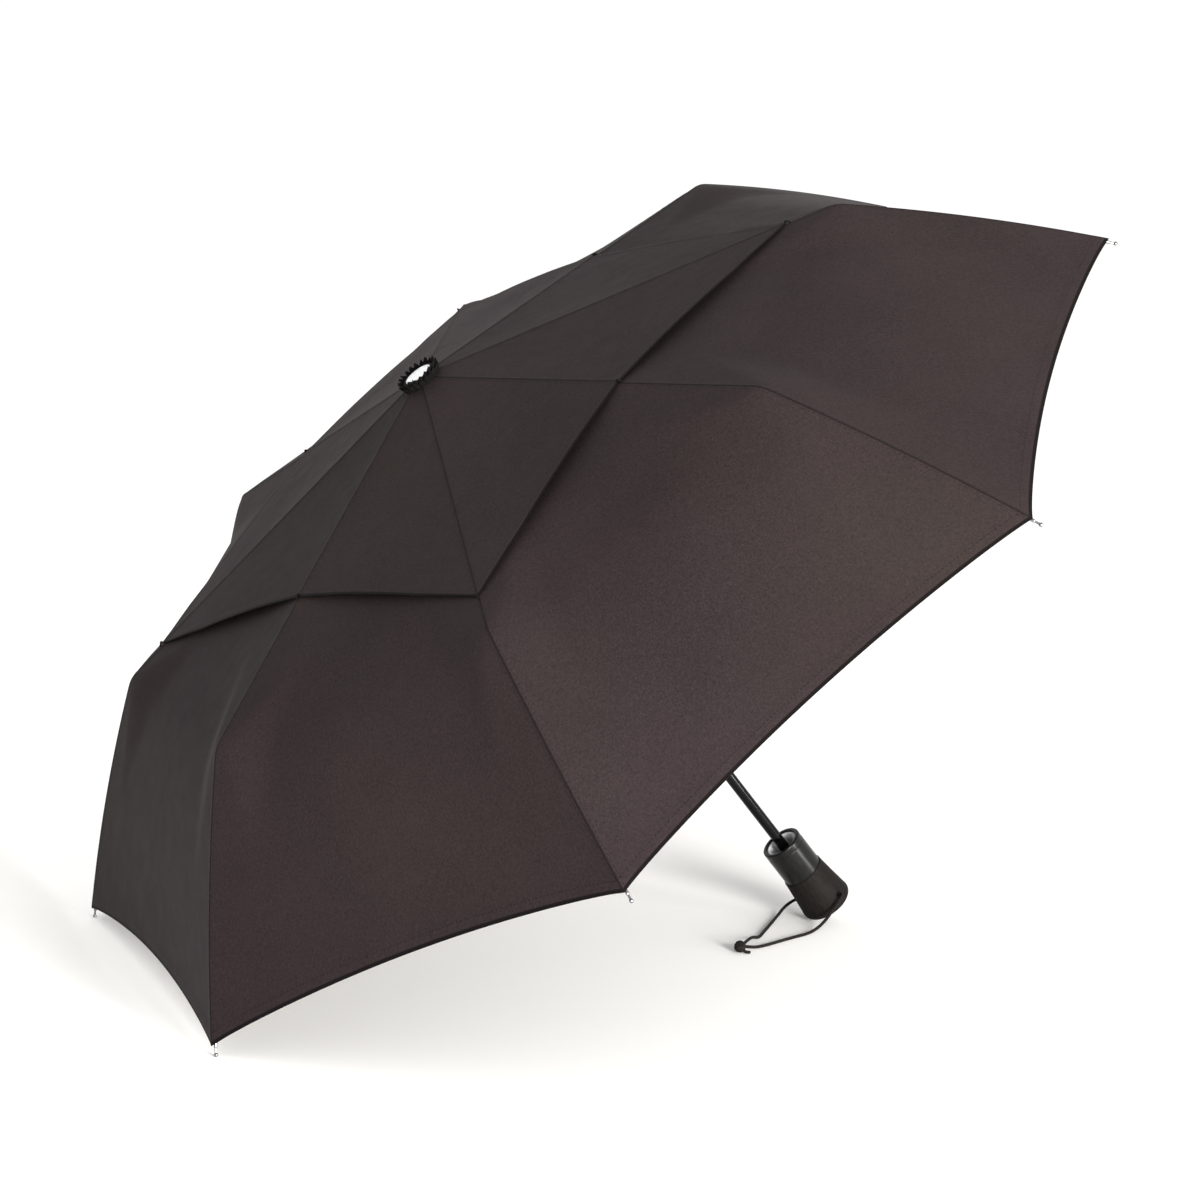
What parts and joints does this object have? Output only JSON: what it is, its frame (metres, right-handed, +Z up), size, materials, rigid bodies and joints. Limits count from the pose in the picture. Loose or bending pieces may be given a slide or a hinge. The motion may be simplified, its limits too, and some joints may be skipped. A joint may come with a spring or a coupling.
{
  "type": "folding umbrella",
  "caption": "Compact umbrella with a telescoping shaft, three-fold ribs, a vented double canopy and a wrist cord, lying open on the ground.",
  "frame": {"origin": "on the ground, at the centre of the footprint of the umbrella as it lies open on two rib tips and its grip, wrist cord left out", "axes": "+Z up from the ground; the shaft leans 38.8 degrees in the XZ plane, with its cap towards -X and its grip towards +X; Y runs across the canopy"},
  "size_m": [0.6964, 0.8938, 0.5881],
  "materials": {
    "canopy_cloth": "satin",
    "ruffle_cloth": "matte",
    "grip_rubber": "matte",
    "handle_plastic": "satin",
    "liner_plastic": "satin",
    "shaft_steel": "gloss",
    "rib_steel": "satin",
    "rib_fibre": "satin",
    "runner_plastic": "satin",
    "tip_metal": "gloss",
    "cap_metal": "satin",
    "spring_steel": "satin",
    "cord_braid": "matte"
  },
  "bodies": {
    "handle": {"grip": "grip_rubber", "handle_sleeve": "handle_plastic", "cup_liner": "liner_plastic", "lower_tube": "shaft_steel", "drive_spring": "spring_steel", "button_spring": "spring_steel", "wrist_cord_near": "cord_braid", "wrist_cord_far": "cord_braid", "cord_knot": "cord_braid"},
    "button": {"push_button": "handle_plastic"},
    "middle_tube": {"middle_tube": "shaft_steel"},
    "crown": {"top_tube": "shaft_steel", "crown_hub": "runner_plastic", "cap_ruffle": "ruffle_cloth", "cap_disc": "cap_metal", "lower_canopy": "canopy_cloth", "vent_canopy": "canopy_cloth", "tie_strap": "canopy_cloth"},
    "runner": {"runner": "runner_plastic"},
    "inner_rib_1": {"rib_inner_1": "rib_steel"},
    "middle_rib_1": {"rib_middle_1": "rib_steel"},
    "outer_rib_1": {"rib_outer_1": "rib_fibre", "rib_tip_1": "tip_metal"},
    "strut_1": {"strut_1": "rib_steel"},
    "inner_rib_2": {"rib_inner_2": "rib_steel"},
    "middle_rib_2": {"rib_middle_2": "rib_steel"},
    "outer_rib_2": {"rib_outer_2": "rib_fibre", "rib_tip_2": "tip_metal"},
    "strut_2": {"strut_2": "rib_steel"},
    "inner_rib_3": {"rib_inner_3": "rib_steel"},
    "middle_rib_3": {"rib_middle_3": "rib_steel"},
    "outer_rib_3": {"rib_outer_3": "rib_fibre", "rib_tip_3": "tip_metal"},
    "strut_3": {"strut_3": "rib_steel"},
    "inner_rib_4": {"rib_inner_4": "rib_steel"},
    "middle_rib_4": {"rib_middle_4": "rib_steel"},
    "outer_rib_4": {"rib_outer_4": "rib_fibre", "rib_tip_4": "tip_metal"},
    "strut_4": {"strut_4": "rib_steel"},
    "inner_rib_5": {"rib_inner_5": "rib_steel"},
    "middle_rib_5": {"rib_middle_5": "rib_steel"},
    "outer_rib_5": {"rib_outer_5": "rib_fibre", "rib_tip_5": "tip_metal"},
    "strut_5": {"strut_5": "rib_steel"},
    "inner_rib_6": {"rib_inner_6": "rib_steel"},
    "middle_rib_6": {"rib_middle_6": "rib_steel"},
    "outer_rib_6": {"rib_outer_6": "rib_fibre", "rib_tip_6": "tip_metal"},
    "strut_6": {"strut_6": "rib_steel"},
    "inner_rib_7": {"rib_inner_7": "rib_steel"},
    "middle_rib_7": {"rib_middle_7": "rib_steel"},
    "outer_rib_7": {"rib_outer_7": "rib_fibre", "rib_tip_7": "tip_metal"},
    "strut_7": {"strut_7": "rib_steel"},
    "inner_rib_8": {"rib_inner_8": "rib_steel"},
    "middle_rib_8": {"rib_middle_8": "rib_steel"},
    "outer_rib_8": {"rib_outer_8": "rib_fibre", "rib_tip_8": "tip_metal"},
    "strut_8": {"strut_8": "rib_steel"}
  },
  "joints": [
    {"name": "shaft_collapse", "type": "slide", "parent": "handle", "child": "middle_tube", "axis": [0.6288, 0, -0.7776], "range_m": [0, 0.1378], "deforming": ["drive_spring"]},
    {"name": "top_tube_slide", "type": "slide", "parent": "middle_tube", "child": "crown", "axis": [0.6288, 0, -0.7776], "range_m": [0, 0.1378]},
    {"name": "canopy_fold", "type": "slide", "parent": "crown", "child": "runner", "axis": [0.6288, 0, -0.7776], "range_m": [0, 0.13905], "deforming": ["lower_canopy", "vent_canopy", "tie_strap"]},
    {"name": "rib_inner_1_hinge", "type": "hinge", "parent": "crown", "child": "inner_rib_1", "pos_m": [-0.12206, -0.00421, 0.45314], "axis": [0.2976, 0.9239, 0.2406], "range_deg": [0, 74.19]},
    {"name": "rib_middle_1_hinge", "type": "hinge", "parent": "inner_rib_1", "child": "middle_rib_1", "pos_m": [0.01104, -0.06414, 0.51866], "axis": [-0.2976, -0.9239, -0.2406], "range_deg": [0, 173]},
    {"name": "rib_outer_1_hinge", "type": "hinge", "parent": "middle_rib_1", "child": "outer_rib_1", "pos_m": [0.1465, -0.12514, 0.58533], "axis": [0.2976, 0.9239, 0.2406], "range_deg": [0, 143.46]},
    {"name": "strut_1_hinge", "type": "hinge", "parent": "runner", "child": "strut_1", "pos_m": [-0.08201, -0.00459, 0.40509], "axis": [-0.2976, -0.9239, -0.2406], "range_deg": [0, 62.67]},
    {"name": "rib_inner_2_hinge", "type": "hinge", "parent": "crown", "child": "inner_rib_2", "pos_m": [-0.12669, -0.01016, 0.4494], "axis": [0.7184, 0.3827, 0.5809], "range_deg": [0, 74.19]},
    {"name": "rib_middle_2_hinge", "type": "hinge", "parent": "inner_rib_2", "child": "middle_rib_2", "pos_m": [-0.05949, -0.15485, 0.46162], "axis": [-0.7184, -0.3827, -0.5809], "range_deg": [0, 173]},
    {"name": "rib_outer_2_hinge", "type": "hinge", "parent": "middle_rib_2", "child": "outer_rib_2", "pos_m": [0.00889, -0.30211, 0.47406], "axis": [0.7184, 0.3827, 0.5809], "range_deg": [0, 143.46]},
    {"name": "strut_2_hinge", "type": "hinge", "parent": "runner", "child": "strut_2", "pos_m": [-0.08706, -0.01109, 0.40101], "axis": [-0.7184, -0.3827, -0.5809], "range_deg": [0, 62.67]},
    {"name": "rib_inner_3_hinge", "type": "hinge", "parent": "crown", "child": "inner_rib_3", "pos_m": [-0.13323, -0.01016, 0.44411], "axis": [0.7184, -0.3827, 0.5809], "range_deg": [0, 74.19]},
    {"name": "rib_middle_3_hinge", "type": "hinge", "parent": "inner_rib_3", "child": "middle_rib_3", "pos_m": [-0.15924, -0.15485, 0.38096], "axis": [-0.7184, 0.3827, -0.5809], "range_deg": [0, 173]},
    {"name": "rib_outer_3_hinge", "type": "hinge", "parent": "middle_rib_3", "child": "outer_rib_3", "pos_m": [-0.18572, -0.30211, 0.31669], "axis": [0.7184, -0.3827, 0.5809], "range_deg": [0, 143.46]},
    {"name": "strut_3_hinge", "type": "hinge", "parent": "runner", "child": "strut_3", "pos_m": [-0.0942, -0.01109, 0.39523], "axis": [-0.7184, 0.3827, -0.5809], "range_deg": [0, 62.67]},
    {"name": "rib_inner_4_hinge", "type": "hinge", "parent": "crown", "child": "inner_rib_4", "pos_m": [-0.13786, -0.00421, 0.44036], "axis": [0.2976, -0.9239, 0.2406], "range_deg": [0, 74.19]},
    {"name": "rib_middle_4_hinge", "type": "hinge", "parent": "inner_rib_4", "child": "middle_rib_4", "pos_m": [-0.22978, -0.06414, 0.32392], "axis": [-0.2976, 0.9239, -0.2406], "range_deg": [0, 173]},
    {"name": "rib_outer_4_hinge", "type": "hinge", "parent": "middle_rib_4", "child": "outer_rib_4", "pos_m": [-0.32333, -0.12514, 0.20541], "axis": [0.2976, -0.9239, 0.2406], "range_deg": [0, 143.46]},
    {"name": "strut_4_hinge", "type": "hinge", "parent": "runner", "child": "strut_4", "pos_m": [-0.09925, -0.00459, 0.39115], "axis": [-0.2976, 0.9239, -0.2406], "range_deg": [0, 62.67]},
    {"name": "rib_inner_5_hinge", "type": "hinge", "parent": "crown", "child": "inner_rib_5", "pos_m": [-0.13786, 0.00421, 0.44036], "axis": [-0.2976, -0.9239, -0.2406], "range_deg": [0, 74.19]},
    {"name": "rib_middle_5_hinge", "type": "hinge", "parent": "inner_rib_5", "child": "middle_rib_5", "pos_m": [-0.22978, 0.06414, 0.32392], "axis": [0.2976, 0.9239, 0.2406], "range_deg": [0, 173]},
    {"name": "rib_outer_5_hinge", "type": "hinge", "parent": "middle_rib_5", "child": "outer_rib_5", "pos_m": [-0.32333, 0.12514, 0.20541], "axis": [-0.2976, -0.9239, -0.2406], "range_deg": [0, 143.46]},
    {"name": "strut_5_hinge", "type": "hinge", "parent": "runner", "child": "strut_5", "pos_m": [-0.09925, 0.00459, 0.39115], "axis": [0.2976, 0.9239, 0.2406], "range_deg": [0, 62.67]},
    {"name": "rib_inner_6_hinge", "type": "hinge", "parent": "crown", "child": "inner_rib_6", "pos_m": [-0.13323, 0.01016, 0.44411], "axis": [-0.7184, -0.3827, -0.5809], "range_deg": [0, 74.19]},
    {"name": "rib_middle_6_hinge", "type": "hinge", "parent": "inner_rib_6", "child": "middle_rib_6", "pos_m": [-0.15924, 0.15485, 0.38096], "axis": [0.7184, 0.3827, 0.5809], "range_deg": [0, 173]},
    {"name": "rib_outer_6_hinge", "type": "hinge", "parent": "middle_rib_6", "child": "outer_rib_6", "pos_m": [-0.18572, 0.30211, 0.31669], "axis": [-0.7184, -0.3827, -0.5809], "range_deg": [0, 143.46]},
    {"name": "strut_6_hinge", "type": "hinge", "parent": "runner", "child": "strut_6", "pos_m": [-0.0942, 0.01109, 0.39523], "axis": [0.7184, 0.3827, 0.5809], "range_deg": [0, 62.67]},
    {"name": "rib_inner_7_hinge", "type": "hinge", "parent": "crown", "child": "inner_rib_7", "pos_m": [-0.12669, 0.01016, 0.4494], "axis": [-0.7184, 0.3827, -0.5809], "range_deg": [0, 74.19]},
    {"name": "rib_middle_7_hinge", "type": "hinge", "parent": "inner_rib_7", "child": "middle_rib_7", "pos_m": [-0.05949, 0.15485, 0.46162], "axis": [0.7184, -0.3827, 0.5809], "range_deg": [0, 173]},
    {"name": "rib_outer_7_hinge", "type": "hinge", "parent": "middle_rib_7", "child": "outer_rib_7", "pos_m": [0.00889, 0.30211, 0.47406], "axis": [-0.7184, 0.3827, -0.5809], "range_deg": [0, 143.46]},
    {"name": "strut_7_hinge", "type": "hinge", "parent": "runner", "child": "strut_7", "pos_m": [-0.08706, 0.01109, 0.40101], "axis": [0.7184, -0.3827, 0.5809], "range_deg": [0, 62.67]},
    {"name": "rib_inner_8_hinge", "type": "hinge", "parent": "crown", "child": "inner_rib_8", "pos_m": [-0.12206, 0.00421, 0.45314], "axis": [-0.2976, 0.9239, -0.2406], "range_deg": [0, 74.19]},
    {"name": "rib_middle_8_hinge", "type": "hinge", "parent": "inner_rib_8", "child": "middle_rib_8", "pos_m": [0.01104, 0.06414, 0.51866], "axis": [0.2976, -0.9239, 0.2406], "range_deg": [0, 173]},
    {"name": "rib_outer_8_hinge", "type": "hinge", "parent": "middle_rib_8", "child": "outer_rib_8", "pos_m": [0.1465, 0.12514, 0.58533], "axis": [-0.2976, 0.9239, -0.2406], "range_deg": [0, 143.46]},
    {"name": "strut_8_hinge", "type": "hinge", "parent": "runner", "child": "strut_8", "pos_m": [-0.08201, 0.00459, 0.40509], "axis": [0.2976, -0.9239, 0.2406], "range_deg": [0, 62.67]},
    {"name": "button_press", "type": "slide", "parent": "handle", "child": "button", "axis": [0, -1, 0], "range_m": [0, 0.002], "stiffness_N_per_m": 900, "springref_m": -0.002, "deforming": ["button_spring"]}
  ],
  "couplings": [
    {"joint": "top_tube_slide", "follows": "shaft_collapse", "ratio": 1},
    {"joint": "rib_inner_1_hinge", "follows": "canopy_fold", "rad_per_m": 9.312},
    {"joint": "rib_middle_1_hinge", "follows": "canopy_fold", "rad_per_m": 21.714},
    {"joint": "rib_outer_1_hinge", "follows": "canopy_fold", "rad_per_m": 18.006},
    {"joint": "strut_1_hinge", "follows": "canopy_fold", "rad_per_m": 7.8662},
    {"joint": "rib_inner_2_hinge", "follows": "canopy_fold", "rad_per_m": 9.312},
    {"joint": "rib_middle_2_hinge", "follows": "canopy_fold", "rad_per_m": 21.714},
    {"joint": "rib_outer_2_hinge", "follows": "canopy_fold", "rad_per_m": 18.006},
    {"joint": "strut_2_hinge", "follows": "canopy_fold", "rad_per_m": 7.8662},
    {"joint": "rib_inner_3_hinge", "follows": "canopy_fold", "rad_per_m": 9.312},
    {"joint": "rib_middle_3_hinge", "follows": "canopy_fold", "rad_per_m": 21.714},
    {"joint": "rib_outer_3_hinge", "follows": "canopy_fold", "rad_per_m": 18.006},
    {"joint": "strut_3_hinge", "follows": "canopy_fold", "rad_per_m": 7.8662},
    {"joint": "rib_inner_4_hinge", "follows": "canopy_fold", "rad_per_m": 9.312},
    {"joint": "rib_middle_4_hinge", "follows": "canopy_fold", "rad_per_m": 21.714},
    {"joint": "rib_outer_4_hinge", "follows": "canopy_fold", "rad_per_m": 18.006},
    {"joint": "strut_4_hinge", "follows": "canopy_fold", "rad_per_m": 7.8662},
    {"joint": "rib_inner_5_hinge", "follows": "canopy_fold", "rad_per_m": 9.312},
    {"joint": "rib_middle_5_hinge", "follows": "canopy_fold", "rad_per_m": 21.714},
    {"joint": "rib_outer_5_hinge", "follows": "canopy_fold", "rad_per_m": 18.006},
    {"joint": "strut_5_hinge", "follows": "canopy_fold", "rad_per_m": 7.8662},
    {"joint": "rib_inner_6_hinge", "follows": "canopy_fold", "rad_per_m": 9.312},
    {"joint": "rib_middle_6_hinge", "follows": "canopy_fold", "rad_per_m": 21.714},
    {"joint": "rib_outer_6_hinge", "follows": "canopy_fold", "rad_per_m": 18.006},
    {"joint": "strut_6_hinge", "follows": "canopy_fold", "rad_per_m": 7.8662},
    {"joint": "rib_inner_7_hinge", "follows": "canopy_fold", "rad_per_m": 9.312},
    {"joint": "rib_middle_7_hinge", "follows": "canopy_fold", "rad_per_m": 21.714},
    {"joint": "rib_outer_7_hinge", "follows": "canopy_fold", "rad_per_m": 18.006},
    {"joint": "strut_7_hinge", "follows": "canopy_fold", "rad_per_m": 7.8662},
    {"joint": "rib_inner_8_hinge", "follows": "canopy_fold", "rad_per_m": 9.312},
    {"joint": "rib_middle_8_hinge", "follows": "canopy_fold", "rad_per_m": 21.714},
    {"joint": "rib_outer_8_hinge", "follows": "canopy_fold", "rad_per_m": 18.006},
    {"joint": "strut_8_hinge", "follows": "canopy_fold", "rad_per_m": 7.8662}
  ]
}
